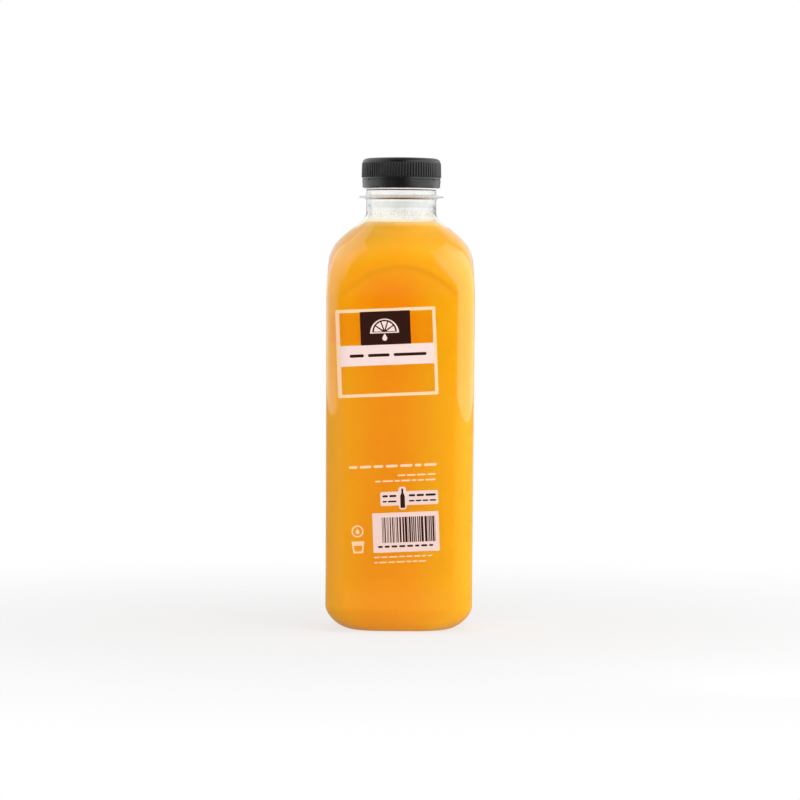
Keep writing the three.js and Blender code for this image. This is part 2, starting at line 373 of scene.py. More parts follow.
# Points along an arc, angles in degrees
def arc(x, y, radius, start, end, steps=ARC_STEPS):
    turns = [radians(lerp(start, end, i / steps)) for i in range(steps + 1)]
    return [(x + radius * cos(t), y + radius * sin(t)) for t in turns]


# Points along a curve from one point to another, round a corner
def bend(start, corner, end, steps=ARC_STEPS):
    points = []
    for i in range(steps + 1):
        share = i / steps
        first = [lerp(a, b, share) for a, b in zip(start, corner)]
        second = [lerp(a, b, share) for a, b in zip(corner, end)]
        points.append(tuple(lerp(a, b, share) for a, b in zip(first, second)))
    return points


def linked(name, data):
    made = bpy.data.objects.new(name, data)
    bpy.context.scene.collection.objects.link(made)
    return made


# A mesh object from points in millimetres
def mesh_piece(name, points, faces, material, sharp=None, smooth=True):
    mesh = bpy.data.meshes.new(name)
    mesh.from_pydata([tuple(v * MM for v in p) for p in points], [], faces)
    mesh.update()
    mesh.materials.append(material)
    mesh.polygons.foreach_set("use_smooth", [smooth] * len(mesh.polygons))
    if sharp is not None:
        mesh.set_sharp_from_angle(angle=radians(sharp))
    return linked(name, mesh)


# Tie a finished piece to the frame
def install(piece, slot, *nodes):
    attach(piece, "root")
    if nodes:
        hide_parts(*nodes)


# Materials

# A material, its node tree, and the place that its patterns follow
def new_material(name):
    material = bpy.data.materials.new(name)
    material.use_nodes = True
    tree = material.node_tree
    tree.nodes.clear()
    return material, tree, node(tree, "TexCoord").outputs["Object"]


def finished(material, surface):
    feed(node(material.node_tree, "OutputMaterial").inputs["Surface"], surface)
    return material


# The node tree of the first output among some values
def tree_of(*values):
    return next(value.id_data for value in values if isinstance(value, bpy.types.NodeSocket))


# Link an output to a socket, or set a constant value on it
def feed(socket, value):
    if isinstance(value, bpy.types.NodeSocket):
        socket.id_data.links.new(value, socket)
    elif socket.type == "RGBA":
        socket.default_value = (*value, 1.0)
    else:
        socket.default_value = value


# A node of a kind with its settings, and with values or links on its sockets
def node(tree, kind, settings=None, **inputs):
    made = tree.nodes.new("ShaderNode" + kind)
    for key, value in (settings or {}).items():
        setattr(made, key, value)
    for key, value in inputs.items():
        feed(made.inputs[key.replace("_", " ")], value)
    return made


def maths(operation, first, second=0.0, clamp_it=False):
    made = node(tree_of(first, second), "Math", {"operation": operation, "use_clamp": clamp_it})
    feed(made.inputs[0], first)
    feed(made.inputs[1], second)
    return made.outputs[0]


def times(first, *others):
    for other in others:
        first = maths("MULTIPLY", first, other)
    return first


# What a share leaves of 1
def rest(share, clamp_it=False):
    return maths("SUBTRACT", 1.0, share, clamp_it)


# A share turned into a value that starts at one number and grows by another
def growing(share, start, growth):
    return maths("ADD", times(share, growth), start)


# A value remapped smoothly from a range to 0 and 1
def ramped(value, low, high):
    made = node(value.id_data, "MapRange", {"interpolation_type": "SMOOTHSTEP"}, Value=value)
    made.inputs["From Min"].default_value = low
    made.inputs["From Max"].default_value = high
    return made.outputs["Result"]


# The same for a place in the frame and a span in millimetres
def spanned(place, span):
    return ramped(place, span[0] * MM, span[1] * MM)


# 1 between two heights in millimetres, with soft edges
def between(height, low, high, edge):
    above = spanned(height, (low - edge, low))
    return times(above, spanned(height, (high + edge, high)))


def mixed(factor, first, second):
    made = node(factor.id_data, "Mix", {"data_type": "RGBA"})
    for index, value in ((0, factor), (6, first), (7, second)):
        feed(made.inputs[index], value)
    return made.outputs[2]


def mixed_shader(factor, first, second):
    made = node(factor.id_data, "MixShader")
    for socket, value in zip(made.inputs, (factor, first, second)):
        feed(socket, value)
    return made.outputs[0]


def noise(place, scale, detail):
    made = node(place.id_data, "TexNoise", Vector=place, Scale=scale, Detail=detail)
    return made.outputs["Fac"]


# A pattern of patches, which set in between two values of a noise
def patches(place, scale, detail, low, high):
    return ramped(noise(place, scale, detail), low, high)


def axes_of(place):
    return node(place.id_data, "SeparateXYZ", Vector=place).outputs


def grey(level):
    return (level, level, level)


# A normal that follows a pattern of a height in millimetres
def bumped(pattern, height, strength=1.0):
    tree = pattern.id_data
    bump = node(tree, "Bump", Height=pattern, Strength=strength, Distance=height * MM)
    return bump.outputs["Normal"]


def principled(tree, **inputs):
    return node(tree, "BsdfPrincipled", **inputs).outputs[0]


def see_through(tree, colour):
    return node(tree, "BsdfTransparent", Color=colour).outputs[0]


def glossy(tree, roughness):
    return node(tree, "BsdfAnisotropic", Color=grey(1), Roughness=roughness).outputs[0]


# 1 on the outer face of a wall
def outer_face(tree):
    return rest(node(tree, "NewGeometry").outputs["Backfacing"])


# How much the outer face of a thin clear wall mirrors
def sheen(face):
    return times(node(face.id_data, "Fresnel", IOR=THIN_IOR).outputs[0], face)


# 1 for the rays that carry lamp light to the juice
def lamp_light(tree):
    path = node(tree, "LightPath")
    return maths("MAXIMUM", path.outputs["Is Shadow Ray"], path.outputs["Is Diffuse Ray"])


# Here and below, a span is in millimetres, from where something sets in to where it is full, and a
# pattern is the scale and detail of a noise with the values between which its patches set in
PLASTIC_COLOUR = (0.975, 0.985, 0.98)
PLASTIC_TO_LAMPS = (0.97, 0.98, 0.975)
PLASTIC_ROUGH = 0.025
PLASTIC_IOR = 1.57
THIN_IOR = 1.5
WAVES = (42.0, 1.0)
WAVE_HEIGHT = 0.03


# Clear blown plastic that lets lamp light through. Its empty neck is shaded as a thin wall
def clear_plastic():
    material, tree, place = new_material("clear_plastic")
    normal = bumped(noise(place, *WAVES), WAVE_HEIGHT)
    glass = principled(
        tree, Base_Color=PLASTIC_COLOUR, Roughness=PLASTIC_ROUGH, IOR=PLASTIC_IOR,
        Transmission_Weight=1.0, Normal=normal,
    )
    to_neck = spanned(axes_of(place)["Z"], NECK_SHADED)
    wall = mixed_shader(to_neck, glass, neck_shader(tree, place))
    result = mixed_shader(lamp_light(tree), wall, see_through(tree, PLASTIC_TO_LAMPS))
    return finished(material, result)


# The empty neck, from where it is shaded as one, and the radius that tells its outside
NECK_SHADED = (200.5, 204.3)
NECK_OUTSIDE = (16.6, 17.2)
NECK_NEAR_JUICE = (209.5, 206.2)
NECK_ROUGH = 0.06

# Its grey: painted shade at its sides and in a mottled zone low on them, where a thick clear wall bends
# dark surroundings into view, and a mist and specks
NECK_EDGE = 0.8
NECK_EDGE_POWER = 2.5
NECK_EDGE_MOST = 0.35
NECK_EDGE_SPAN = (207, 211)
NECK_MIST = 0.04
NECK_MIST_PATTERN = (230.0, 4.0, 0.45, 0.75)
NECK_SPECKS = 0.25
NECK_SPECK_PATTERN = (1500.0, 1.0, 0.62, 0.70)
NECK_SPECK_SPAN = (213.5, 210.5)
NECK_SIDE_SHADE = (209.5, 213.5, 2.0)
NECK_SIDE_SHADE_PATTERN = (330.0, 2.0, 0.38, 0.58)
NECK_SIDE_SHADE_ASIDE = (0.30, 0.70)
NECK_SIDE_SHADE_GREY = 0.30
NECK_SIDE_SHADE_MATT = 0.8
NECK_QUIET_FALL = 2.0

# Its tints, inside, low on it, high on it and next to the juice; the warm ones low on it and next to
# the juice are a painted glow of light from the juice
NECK_TINT = (1.0, 1.0, 0.995)
NECK_LOW_GLOW_TINT = (1.0, 0.97, 0.89)
NECK_HIGH_TINT = (0.92, 0.92, 0.905)
NECK_HIGH_SPAN = (208.5, 212.5)
NECK_JUICE_GLOW = (1.0, 0.90, 0.76)
NECK_JUICE_GLOW_SPAN = (208.5, 205.8)

# Painted shade lines round the neck, where its ring and bead bend dark surroundings into view, brownish
# under the ring, and a painted grey reflection band below them: tint, lowest and highest height, width
# of their edges, fading at the sides
NECK_SHADE_LINES = (
    ((0.76, 0.76, 0.75), 213.4, 215.6, 0.9, 1.3),
    ((0.66, 0.55, 0.47), 218.0, 218.5, 1.4, 1.5),
    ((0.03, 0.025, 0.02), 217.31, 217.73, 0.25, 1.5),
    ((0.02, 0.02, 0.015), 221.88, 222.25, 0.2, 0.6),
)
# A painted glint: a pale band under the bead that stands in for a highlight
BEAD_GLINT = (222.5, 222.85, 0.15)
BEAD_GLINT_COLOUR = (0.95, 1.0, 1.0)


# The thick clear neck: see-through, with painted shade at its sides and in lines where its shape bends
# dark surroundings into view, a painted glow next to the juice and a painted glint under the bead
def neck_shader(tree, place):
    x, y, height = axes_of(place)
    level = node(tree, "CombineXYZ", X=x, Y=y).outputs[0]
    reach = node(tree, "VectorMath", {"operation": "LENGTH"}, Vector=level).outputs["Value"]
    outward = node(tree, "VectorMath", {"operation": "NORMALIZE"}, Vector=level)
    weight = node(tree, "LayerWeight", Normal=outward.outputs["Vector"])
    facing = weight.outputs["Facing"]
    face = outer_face(tree)
    outside = times(spanned(reach, NECK_OUTSIDE), face)
    # Painted shade in mottled patches at the neck's sides
    side_shade = times(
        between(height, *NECK_SIDE_SHADE), ramped(facing, *NECK_SIDE_SHADE_ASIDE),
        patches(place, *NECK_SIDE_SHADE_PATTERN), outside,
    )
    # Next to the juice the painted shade gives way to the painted glow
    near_juice = spanned(height, NECK_NEAR_JUICE)
    shade = neck_shade(place, height, facing, outside, side_shade)
    shade = times(shade, rest(near_juice))
    tint = neck_tint(height, facing, outside)
    thin = see_through(tree, mixed(shade, tint, grey(0)))
    quiet = times(near_juice, rest(times(facing, NECK_QUIET_FALL), True))
    matt = times(side_shade, NECK_SIDE_SHADE_MATT)
    amount = times(sheen(face), rest(quiet), rest(matt))
    clear = mixed_shader(amount, thin, glossy(tree, NECK_ROUGH))
    # Painted glint under the bead
    pale = node(tree, "BsdfDiffuse", Color=BEAD_GLINT_COLOUR).outputs[0]
    glint = times(between(height, *BEAD_GLINT), outside)
    return mixed_shader(glint, clear, pale)


# How grey the neck's wall is: painted shade at its sides, a mist and specks
def neck_shade(place, height, facing, outside, side_shade):
    slant = times(maths("POWER", facing, NECK_EDGE_POWER), NECK_EDGE)
    slant = times(slant, spanned(height, NECK_EDGE_SPAN))
    shade = times(maths("MINIMUM", slant, NECK_EDGE_MOST), outside)
    mist = patches(place, *NECK_MIST_PATTERN)
    specks = patches(place, *NECK_SPECK_PATTERN)
    specks = times(specks, spanned(height, NECK_SPECK_SPAN))
    for part, amount in ((mist, NECK_MIST), (specks, NECK_SPECKS), (side_shade, NECK_SIDE_SHADE_GREY)):
        shade = maths("ADD", shade, times(part, amount), True)
    return shade


# The tint of the neck's wall, with a painted glow of juice light low on it and the painted shade lines
# round it
def neck_tint(height, facing, outside):
    # Painted glow from the juice, warm low on the neck and next to the juice
    wall = mixed(spanned(height, NECK_HIGH_SPAN), NECK_LOW_GLOW_TINT, NECK_HIGH_TINT)
    wall = mixed(spanned(height, NECK_JUICE_GLOW_SPAN), wall, NECK_JUICE_GLOW)
    tint = mixed(outside, NECK_TINT, wall)
    # Painted shade lines round the neck
    for shade_tint, low, high, edge, fall in NECK_SHADE_LINES:
        frontal = times(rest(times(facing, fall), True), outside)
        on_line = times(between(height, low, high, edge), frontal)
        tint = mixed(on_line, tint, shade_tint)
    return tint


# Juice: in the middle of each flat, with painted light towards its corners, yellower and brighter and
# centred a little left of the middle so that the right is lit more, and the same low in the foot
JUICE_MIDDLE = (0.93, 0.322, 0.0005)
# Painted shade: darker and redder high on the flats, below the shoulder's light
JUICE_HIGH_SHADED = (0.93, 0.283, 0.0)
JUICE_HIGH_SHADED_SPAN = (125, 165)
JUICE_LIT_CORNER = (0.93, 0.435, 0.003)
JUICE_LIT_CORNER_SPAN = (1, 32)
JUICE_OFF_MIDDLE = 5.5
JUICE_FOOT = (0.93, 0.345, 0.001)
JUICE_FOOT_LIT_CORNER = (0.94, 0.435, 0.005)
JUICE_FOOT_SPAN = (55, 4)
# Painted shade along the crease over each flat
JUICE_CREASE_SHADE = (0.85, 0.355, 0.0)

# Its colour in the shoulder, near its top and at its brim, each over the one before: painted light,
# brighter and yellower where the top light falls, palest at the brim
JUICE_LIT_LAYERS = (
    ((0.96, 0.44, 0.006), (165, 194)),
    ((1.0, 0.478, 0.038), (197.5, 203.0)),
    ((1.0, 0.70, 0.37), (203.0, 206.6)),
)

# Painted light: it is redder and brighter behind the upper openings of the printed frame
JUICE_FRAMED_LIT = (1.0, 0.28, 0.0)
JUICE_FRAMED_SHARE = 0.5
JUICE_FRAMED_SPAN = (146, 158, 2.0)
JUICE_FRAMED_FRONT = (-30, -34)
JUICE_FRAMED_LEFT = (19.5, 16.5)

JUICE_CLOUD = 0.06
JUICE_CLOUD_PATTERN = (55.0, 3.0, 0.3, 0.7)
JUICE_PULP = (0.98, 0.60, 0.03)
JUICE_PULP_SHARE = 0.08
JUICE_PULP_PATTERN = (900.0, 2.0, 0.62, 0.78)
JUICE_ROUGH = 0.35
JUICE_SPECULAR = 0.04

# How far red, green and blue light travels in it, in centimetres, and less so near its top
JUICE_DEPTHS = (0.7, 0.35, 0.08)
JUICE_DEPTH_UNIT = 0.01
JUICE_SHALLOWER = 0.007
JUICE_SHALLOW_SPAN = (200, 205)


def juice_colour(tree, x, y, z):
    across = maths("ABSOLUTE", maths("ADD", x, JUICE_OFF_MIDDLE * MM))
    aside = maths("MINIMUM", across, maths("ABSOLUTE", y))
    # Painted light: yellower and brighter towards the upright corners, more so on the right
    corner_light = spanned(aside, JUICE_LIT_CORNER_SPAN)
    # Painted shade high on the flats
    middle = mixed(spanned(z, JUICE_HIGH_SHADED_SPAN), JUICE_MIDDLE, JUICE_HIGH_SHADED)
    body = mixed(corner_light, middle, JUICE_LIT_CORNER)
    foot = mixed(times(corner_light, corner_light), JUICE_FOOT, JUICE_FOOT_LIT_CORNER)
    body = mixed(spanned(z, JUICE_FOOT_SPAN), body, foot)
    # Painted light in the shoulder, near the top and at the brim
    for colour, span in JUICE_LIT_LAYERS:
        body = mixed(spanned(z, span), body, colour)
    # Painted shade along the crease
    crease = node(tree, "Attribute", {"attribute_name": "crease"})
    body = mixed(crease.outputs["Fac"], body, JUICE_CREASE_SHADE)
    # Painted light behind the frame's upper openings
    framed_light = times(
        between(z, *JUICE_FRAMED_SPAN), spanned(y, JUICE_FRAMED_FRONT),
        spanned(x, JUICE_FRAMED_LEFT), JUICE_FRAMED_SHARE,
    )
    return mixed(framed_light, body, JUICE_FRAMED_LIT)


# Cloudy juice: painted light makes it yellower towards the upright corners and in the shoulder; with
# faint pulp
def juice_material():
    material, tree, place = new_material("juice")
    x, y, z = axes_of(place)
    body = juice_colour(tree, x, y, z)
    cloud = patches(place, *JUICE_CLOUD_PATTERN)
    body = mixed(times(cloud, JUICE_CLOUD), body, JUICE_LIT_CORNER)
    pulp = patches(place, *JUICE_PULP_PATTERN)
    body = mixed(times(pulp, JUICE_PULP_SHARE), body, JUICE_PULP)
    depth = growing(spanned(z, JUICE_SHALLOW_SPAN), JUICE_DEPTH_UNIT, -JUICE_SHALLOWER)
    surface = principled(
        tree, Base_Color=body, Roughness=JUICE_ROUGH, Specular_IOR_Level=JUICE_SPECULAR,
        Subsurface_Weight=1.0, Subsurface_Radius=JUICE_DEPTHS, Subsurface_Scale=depth,
    )
    return finished(material, surface)


# Cap: its plastic where it is new and where it is worn, and its grain
CAP_COLOUR = (0.003, 0.003, 0.0033)
CAP_WORN_COLOUR = (0.005, 0.005, 0.0054)
CAP_WORN_PATTERN = (160.0, 3.0, 0.35, 0.7)
CAP_ROUGH = 0.27
CAP_WORN_ROUGHER = 0.06
CAP_IOR = 1.5
CAP_GRAIN = (3500.0, 2.0)
CAP_GRAIN_SHARE = 0.35
CAP_GRAIN_HEIGHT = 0.02


# Black moulded plastic, satin, with a fine grain
def cap_plastic():
    material, tree, place = new_material("cap_plastic")
    normal = bumped(noise(place, *CAP_GRAIN), CAP_GRAIN_HEIGHT, CAP_GRAIN_SHARE)
    worn = patches(place, *CAP_WORN_PATTERN)
    surface = principled(
        tree, Base_Color=mixed(worn, CAP_COLOUR, CAP_WORN_COLOUR), IOR=CAP_IOR,
        Roughness=growing(worn, CAP_ROUGH, CAP_WORN_ROUGHER), Normal=normal,
    )
    return finished(material, surface)


FILM_TINT = (0.997, 0.996, 0.995)
FILM_GLOSS = 0.25
FILM_ROUGH = 0.05


# Thin clear film: nearly unseen, with a little gloss on its face
def film_material():
    material, tree, _ = new_material("film")
    amount = times(sheen(outer_face(tree)), FILM_GLOSS)
    film = mixed_shader(amount, see_through(tree, FILM_TINT), glossy(tree, FILM_ROUGH))
    return finished(material, film)


# Inks: name, colour, colour where it is thin, and roughness
PALE_INK = ("print_pale", (0.87, 0.69, 0.65), (0.83, 0.605, 0.545), 0.5)
THIN_INK = ("print_thin", (0.97, 0.655, 0.41), (0.95, 0.60, 0.34), 0.5)
DARK_INK = ("print_dark", (0.027, 0.005, 0.002), (0.032, 0.007, 0.003), 0.4)
INK_UNEVEN = 0.3
INK_PATTERN = (240.0, 3.0, 0.3, 0.75)
INK_THIN_SPAN = (100, 62)
INK_SPECULAR = 0.15


# Printing ink, slightly uneven, that casts no shadow into the juice
def ink(name, colour, thin_colour, roughness):
    material, tree, place = new_material(name)
    uneven = times(patches(place, *INK_PATTERN), INK_UNEVEN)
    to_foot = spanned(axes_of(place)["Z"], INK_THIN_SPAN)
    thinness = maths("MAXIMUM", uneven, to_foot)
    surface = principled(
        tree, Base_Color=mixed(thinness, colour, thin_colour),
        Roughness=roughness, Specular_IOR_Level=INK_SPECULAR,
    )
    result = mixed_shader(lamp_light(tree), surface, see_through(tree, grey(1)))
    return finished(material, result)


# Pieces

# Outside of the neck's finish: support ring, bead for the tamper band, and lip
def finish_profile():
    ring_high = RING_LOW + RING_THICK
    half = RING_THICK / 2
    bore = NECK_RADIUS - NECK_WALL
    root = NECK_RADIUS + RING_ROOT_REACH
    start = NECK_RADIUS + RING_ROOT_OFF
    under = bend((NECK_RADIUS, RING_LOW - RING_ROOT_LOW), (start, RING_LOW), (root, RING_LOW))
    rim = arc(RING_RADIUS - half, RING_LOW + half, half, -90, 90, 2 * ARC_STEPS)
    over = bend((root, ring_high), (start, ring_high), (NECK_RADIUS, ring_high + RING_ROOT_HIGH))
    bead = BEAD_RADIUS - BEAD_ROUND
    low_bead = arc(bead, BEAD_LOW + BEAD_ROUND, BEAD_ROUND, -BEAD_TURN, 0)
    high_bead = arc(bead, BEAD_HIGH - BEAD_ROUND, BEAD_ROUND, 0, BEAD_TURN)
    lip_out = arc(NECK_RADIUS - LIP_ROUND, LIP - LIP_ROUND, LIP_ROUND, 0, 90)
    lip_in = arc(bore + LIP_ROUND, LIP - LIP_ROUND, LIP_ROUND, 90, 180)
    return [
        *under, *rim, *over,
        (NECK_RADIUS, BEAD_LOW - BEAD_SLOPE), *low_bead,
        *high_bead, (NECK_RADIUS, BEAD_HIGH + BEAD_SLOPE),
        *lip_out, *lip_in,
    ]


# The blown bottle: outside from the foot to the lip, then inside back down to the foot
def make_bottle(material):
    angles = directions()
    outer = blown_stations(SHOULDER_STEPS)
    inner = blown_stations(INNER_SHOULDER_STEPS)
    outside = [column(outer, angle, lambda wall: 0) for angle in angles]
    inside = [column(inner, angle, lambda wall: wall) for angle in angles]
    rings = rings_of(outside, angles)
    rings += [round_ring(radius, z, angles) for radius, z in finish_profile()]
    rings += reversed(rings_of(inside, angles))
    piece = mesh_piece("bottle_shell", *loft(rings, PUSH_UP, PUSH_UP + FOOT_WALL), material)
    install(piece, "clear_plastic", "bottle")


# A value on each point of the juice: how near it is to a flat's crease, where painted shade darkens it
def mark_crease(piece):
    shares = piece.data.attributes.new("crease", "FLOAT", "POINT")
    for point, share in zip(piece.data.vertices, shares.data):
        x, y, z = (v / MM for v in point.co)
        if z > PANEL_LEAN_FROM:
            share.value = crease_share(atan2(y, x), z)


# The juice: fills the bottle just into its wall, with a meniscus round its top
def make_juice(material):
    angles = directions()
    stations = blown_stations(SHOULDER_STEPS)
    columns = [column(stations, angle, lambda wall: wall - JUICE_INTO_WALL) for angle in angles]
    edge = JUICE_LEVEL + MENISCUS_RISE
    below = sum(1 for point in columns[0] if point[1] < edge - JUICE_EDGE_CLEAR)
    filled = []
    for points in columns:
        low, high = points[below - 1], points[below]
        share = (edge - low[1]) / (high[1] - low[1])
        filled.append(points[:below] + [(lerp(low[0], high[0], share), edge)])
    rings = rings_of(filled, angles)
    for i in range(1, JUICE_TOP_STEPS):
        inward = (i / JUICE_TOP_STEPS) ** JUICE_TOP_POWER
        level = []
        for points in filled:
            radius = points[-1][0] * (1 - inward)
            climb = MENISCUS_RISE * exp(-points[-1][0] * inward / MENISCUS_REACH)
            level.append((radius, JUICE_LEVEL + climb))
        rings.append(ring(level, angles))
    base = PUSH_UP + FOOT_WALL - JUICE_INTO_WALL
    piece = mesh_piece("juice_fill", *loft(rings, base, JUICE_LEVEL), material, JUICE_SMOOTH)
    mark_crease(piece)
    install(piece, "juice", "juice")


# 1 on a rib's crest and 0 between ribs
def rib_share(across):
    return 1 - smoothstep(abs(across), RIB_CREST_WIDTH / 2, RIB_ROOT_WIDTH / 2)


# Stations of the cap's outside: height, radius between ribs, share of a rib
def cap_stations():
    stations = [
        (SLIT_HIGH, COLLAR_RADIUS - EDGE_ROUND, 0),
        (SLIT_HIGH + EDGE_ROUND, COLLAR_RADIUS, 0),
        (RIB_LOW - RIB_STEP, COLLAR_RADIUS, 0),
        (RIB_LOW, COLLAR_RADIUS, 0),
        (RIB_LOW + RIB_STEP / 4, CAP_ROOT, RIB_AT_ROOT),
        (RIB_LOW + RIB_STEP, CAP_ROOT, 1),
    ]
    for i in range(1, RIB_ROWS + 1):
        z = lerp(RIB_LOW + RIB_STEP, RIB_HIGH - RIB_FADE, i / RIB_ROWS)
        stations.append((z, CAP_ROOT, 1))
    for i in range(1, ARC_STEPS + 1):
        share = i / ARC_STEPS
        stations.append((RIB_HIGH - RIB_FADE * (1 - share), CAP_ROOT, 1 - smoothstep(share, 0, 1)))
    for i in range(CROWN_STEPS + 1):
        turn = pi / 2 * i / CROWN_STEPS
        inward = CROWN_REACH * (1 - cos(turn))
        below = CROWN_DROP * (1 - sin(turn))
        stations.append((CAP_TOP - CROWN_RISE - below, CAP_ROOT - inward, 0))
    return stations


# The cap's shell with its grip ribs
def cap_shell():
    count = RIBS * RIB_COLUMNS
    angles = all_round(count)
    pitch = 2 * pi * CAP_ROOT / RIBS
    shares = [rib_share(((i / RIB_COLUMNS + 0.5) % 1 - 0.5) * pitch) for i in range(count)]
    roof = CAP_TOP - CAP_PANEL
    rings = [round_ring(CAP_BORE, z, angles) for z in (roof, SLIT_HIGH)]
    for z, root, rib in cap_stations():
        height = (z - RIB_LOW) / (RIB_HIGH - RIB_LOW)
        crest = lerp(RIB_CREST_LOW, RIB_CREST_HIGH, clamp(height)) - CAP_ROOT
        rings.append(ring([(root + crest * rib * share, z) for share in shares], angles))
    panel = CAP_ROOT - CROWN_REACH
    for i in range(1, CAP_TOP_STEPS):
        share = 1 - i / CAP_TOP_STEPS
        rings.append(round_ring(panel * share, CAP_TOP - CROWN_RISE * share ** 2, angles))
    return loft(rings, roof, CAP_TOP)


# The tamper band, a ring with a small lip at its top edge
def tamper_band():
    return turned([
        (BAND_BORE, SLIT_LOW - EDGE_ROUND),
        (BAND_BORE, BAND_LOW + EDGE_ROUND),
        (BAND_BORE + EDGE_ROUND, BAND_LOW),
        *arc(BAND_RADIUS_LOW - EDGE_ROUND, BAND_LOW + EDGE_ROUND, EDGE_ROUND, -90, 0, BAND_EDGE_STEPS),
        (BAND_RADIUS_LOW, SLIT_LOW - BAND_LIP),
        ((BAND_RADIUS_LOW + BAND_RADIUS_HIGH) / 2, SLIT_LOW - BAND_LIP / 2),
        *arc(BAND_RADIUS_HIGH - EDGE_ROUND, SLIT_LOW - EDGE_ROUND, EDGE_ROUND, 0, 90, BAND_EDGE_STEPS),
        (BAND_BORE + EDGE_ROUND, SLIT_LOW),
    ])


# One of the thin bridges that tear when the cap is first turned
def bridge(index):
    turn = 2 * pi * index / BRIDGES
    inner, outer = BAND_BORE + BRIDGE_SUNK / 2, CAP_ROOT - BRIDGE_SUNK / 2
    low, high = SLIT_LOW - BRIDGE_SUNK, SLIT_HIGH + BRIDGE_SUNK
    points = []
    for z, waist in ((low, 1), ((low + high) / 2, BRIDGE_WAIST), (high, 1)):
        half = BRIDGE_WIDTH / 2 * waist
        for radius, side in ((inner, -half), (outer, -half), (outer, half), (inner, half)):
            x = radius * cos(turn) - side * sin(turn)
            y = radius * sin(turn) + side * cos(turn)
            points.append((x, y, z))
    return points, [(3, 2, 1, 0), (8, 9, 10, 11)] + strip(0, 4, 4) + strip(4, 8, 4)


# Several closed shapes in one list of points and faces
def gathered(shapes):
    points, faces = [], []
    for more_points, more_faces in shapes:
        start = len(points)
        points += more_points
        faces += [tuple(start + i for i in face) for face in more_faces]
    return points, faces


# The thin fold behind the slit, which keeps it dark
def inner_fold():
    low, high = SLIT_LOW - FOLD_REACH, SLIT_HIGH + FOLD_REACH
    return turned([(FOLD_INNER, high), (FOLD_INNER, low), (FOLD_OUTER, low), (FOLD_OUTER, high)])


def make_cap(material):
    shapes = [cap_shell(), tamper_band(), inner_fold()] + [bridge(i) for i in range(BRIDGES)]
    piece = mesh_piece("screw_cap", *gathered(shapes), material, CAP_SMOOTH)
    install(piece, "cap_plastic", "cap")


# A point on the body at a distance along its girth from the middle of the front
def front_point(girth, z, lift):
    straight = half_at(z) - CORNER
    turn = max(abs(girth) - straight, 0) / CORNER
    reach = CORNER + lift
    across = min(abs(girth), straight) + reach * sin(turn)
    return (copysign(across, girth), -(straight + reach * cos(turn)), z)


# Girth and height of a place across and down from the film's top left corner
def on_film(across, down):
    girth = FILM_LEFT + across * cos(FILM_TILT) + down * sin(FILM_TILT)
    z = FILM_TOP + across * sin(FILM_TILT) - down * cos(FILM_TILT)
    return girth, z


# A flat layout of girth and height wrapped onto the body as a thin closed solid
def wrapped(places, faces, back, front):
    count = len(places)
    points = [front_point(girth, z, front) for girth, z in places]
    points += [front_point(girth, z, back) for girth, z in places]
    rims = {}
    for face in faces:
        for start, end in zip(face, face[1:] + face[:1]):
            if (end, start) in rims:
                del rims[(end, start)]
            else:
                rims[(start, end)] = True
    solid = list(faces)
    solid += [tuple(count + i for i in reversed(face)) for face in faces]
    solid += [(end, start, count + start, count + end) for start, end in rims]
    return points, solid


def make_film(material):
    downs = [lerp(-FILM_RISE, FILM_HEIGHT, j / FILM_ROWS) for j in range(FILM_ROWS + 1)]
    acrosses = [FILM_WIDTH * i / FILM_COLUMNS for i in range(FILM_COLUMNS + 1)]
    places = [on_film(across, down) for down in downs for across in acrosses]
    row = FILM_COLUMNS + 1
    starts = [j * row + i for j in range(FILM_ROWS) for i in range(FILM_COLUMNS)]
    faces = [(a, a + row, a + row + 1, a + 1) for a in starts]
    film = wrapped(places, faces, FILM_BACK, FILM_FRONT)
    piece = mesh_piece("label_film", *film, material, FILM_SMOOTH)
    install(piece, "film", "label")


# Print: every mark is an outline, with any holes in it, in millimetres across and up from the
# printed frame's top left corner, which lies a little inside the film's
PRINT_ACROSS = 0.2
PRINT_DOWN = 0.45
CIRCLE_STEPS = 40
BEND_STEP = 0.7  # of a mark that goes round the body's corner

# Fields: left, bottom, right, top and the radius of their corners
FRAME_OUTER = (0, -43.15, 50.2, 0.75, 0.9)
FRAME_WINDOW = (2.15, -41.6, 48.6, -0.88, 0.5)
DARK_FIELD = (12.45, -17.36, 37.5, -0.65, 0.05)
PALE_FIELDS = (
    (2.0, -27.55, 48.7, -17.3, 0),
    (19.1, -97.8, 48.0, -90.85, 0.9),
    (28.3, -99.9, 32.1, -88.6, 1.2),
    (14.7, -121.1, 47.8, -101.3, 0.2),
)

# Rows of dashes: left, right, height, thickness, shortest and longest dash, gap, seed
THIN_ROWS = (
    (4.1, 47.9, -78.0, 1.3, 3, 8, 1.2, 3),
    (28.2, 47.2, -82.8, 0.8, 2, 5, 0.8, 5),
    (16.9, 47.1, -85.5, 0.8, 2, 5.5, 0.8, 8),
    (14.8, 44.0, -123.4, 0.7, 1.6, 4.5, 0.7, 11),
    (14.8, 40.8, -126.0, 0.7, 1.6, 4.5, 0.7, 14),
)
DARK_ROWS = (
    (6.6, 45.0, -22.5, 1.5, 6, 13, 2.0, 21),
    (17.0, 44.6, -118.2, 1.0, 1.6, 3.2, 0.9, 34),
    (20.2, 27.2, -93.0, 1.1, 2, 4, 0.7, 41),
    (20.2, 27.2, -95.7, 0.8, 2, 3, 0.6, 43),
    (33.4, 46.9, -93.0, 1.1, 2.5, 5, 0.7, 45),
    (33.4, 46.9, -95.7, 0.8, 2, 4, 0.6, 47),
)
LAST_DASH = 0.8  # of the shortest, the least room for one more
DASH_FLAT = 0.001

